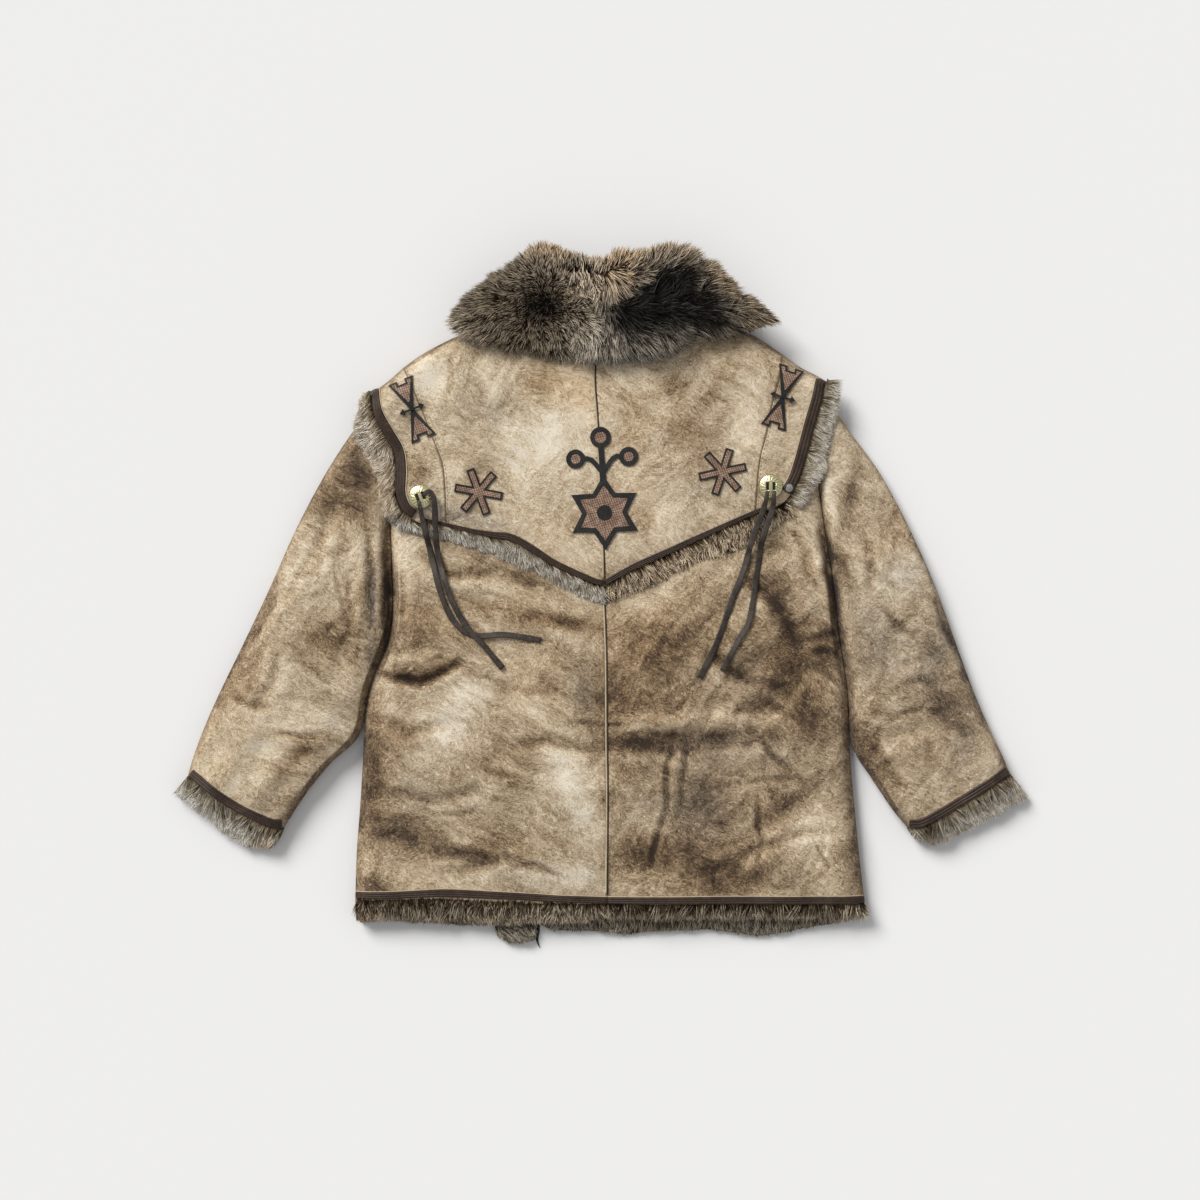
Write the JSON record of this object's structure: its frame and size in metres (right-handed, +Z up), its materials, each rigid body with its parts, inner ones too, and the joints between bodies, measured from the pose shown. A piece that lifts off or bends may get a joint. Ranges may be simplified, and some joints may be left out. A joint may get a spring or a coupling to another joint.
{
  "type": "shearling jacket",
  "caption": "Sheepskin jacket lying face down, with a pointed yoke, fleece collar, fur edges, leather bindings, laced conchos and applied leather shapes.",
  "frame": {"origin": "on the surface that the jacket lies on, under the middle of its outline", "axes": "+X to the wearer's right as it lies face down, +Y towards the collar, +Z up from the surface"},
  "size_m": [1.0736, 0.8842, 0.0867],
  "materials": {
    "suede": "napped, stained, worn",
    "collar_fur": "long fleece with pale tips",
    "fur": "matted fleece",
    "dark_fur": "matted fleece",
    "binding": "smooth, stitched",
    "black_leather": "smooth",
    "inlay": "embroidered",
    "concho": "engraved, polished",
    "thong": "matt"
  },
  "bodies": {
    "root": {"back_left": "suede", "back_right": "suede", "front_left": "suede", "front_right": "suede", "sleeve_left_upper": "suede", "sleeve_left_under": "suede", "sleeve_right_upper": "suede", "sleeve_right_under": "suede", "yoke_left": "suede", "yoke_right": "suede", "shoulder_left": "suede", "shoulder_right": "suede", "collar_left": "collar_fur", "collar_right": "collar_fur", "collar_under": "collar_fur", "hem_fur_back": "fur", "hem_fur_front_left": "fur", "hem_fur_front_right": "dark_fur", "front_corner_fur": "dark_fur", "front_corner_edge": "black_leather", "cuff_fur_left": "fur", "cuff_fur_right": "fur", "yoke_fur_side_left": "fur", "yoke_fur_side_right": "fur", "yoke_fur_edge_left": "fur", "yoke_fur_edge_right": "fur", "hem_binding_left": "binding", "hem_binding_right": "binding", "cuff_binding_left": "binding", "cuff_binding_right": "binding", "yoke_binding_left": "binding", "yoke_binding_right": "binding", "yoke_binding_edge_left": "binding", "yoke_binding_edge_right": "binding", "star_outline": "black_leather", "star_inlay": "inlay", "star_hub": "black_leather", "ring_inlay_top": "inlay", "ring_inlay_left": "inlay", "ring_inlay_right": "inlay", "asterisk_outline_left": "black_leather", "asterisk_inlay_left": "inlay", "asterisk_outline_right": "black_leather", "asterisk_inlay_right": "inlay", "hourglass_outline_left": "black_leather", "hourglass_inlay_upper_left": "inlay", "hourglass_inlay_lower_left": "inlay", "hourglass_arrow_left": "black_leather", "hourglass_outline_right": "black_leather", "hourglass_inlay_upper_right": "inlay", "hourglass_inlay_lower_right": "inlay", "hourglass_arrow_right": "black_leather", "concho_left": "concho", "concho_right": "concho", "thong_left_long": "thong", "thong_left_short": "thong", "thong_right_long": "thong", "thong_right_short": "thong"}
  },
  "joints": []
}
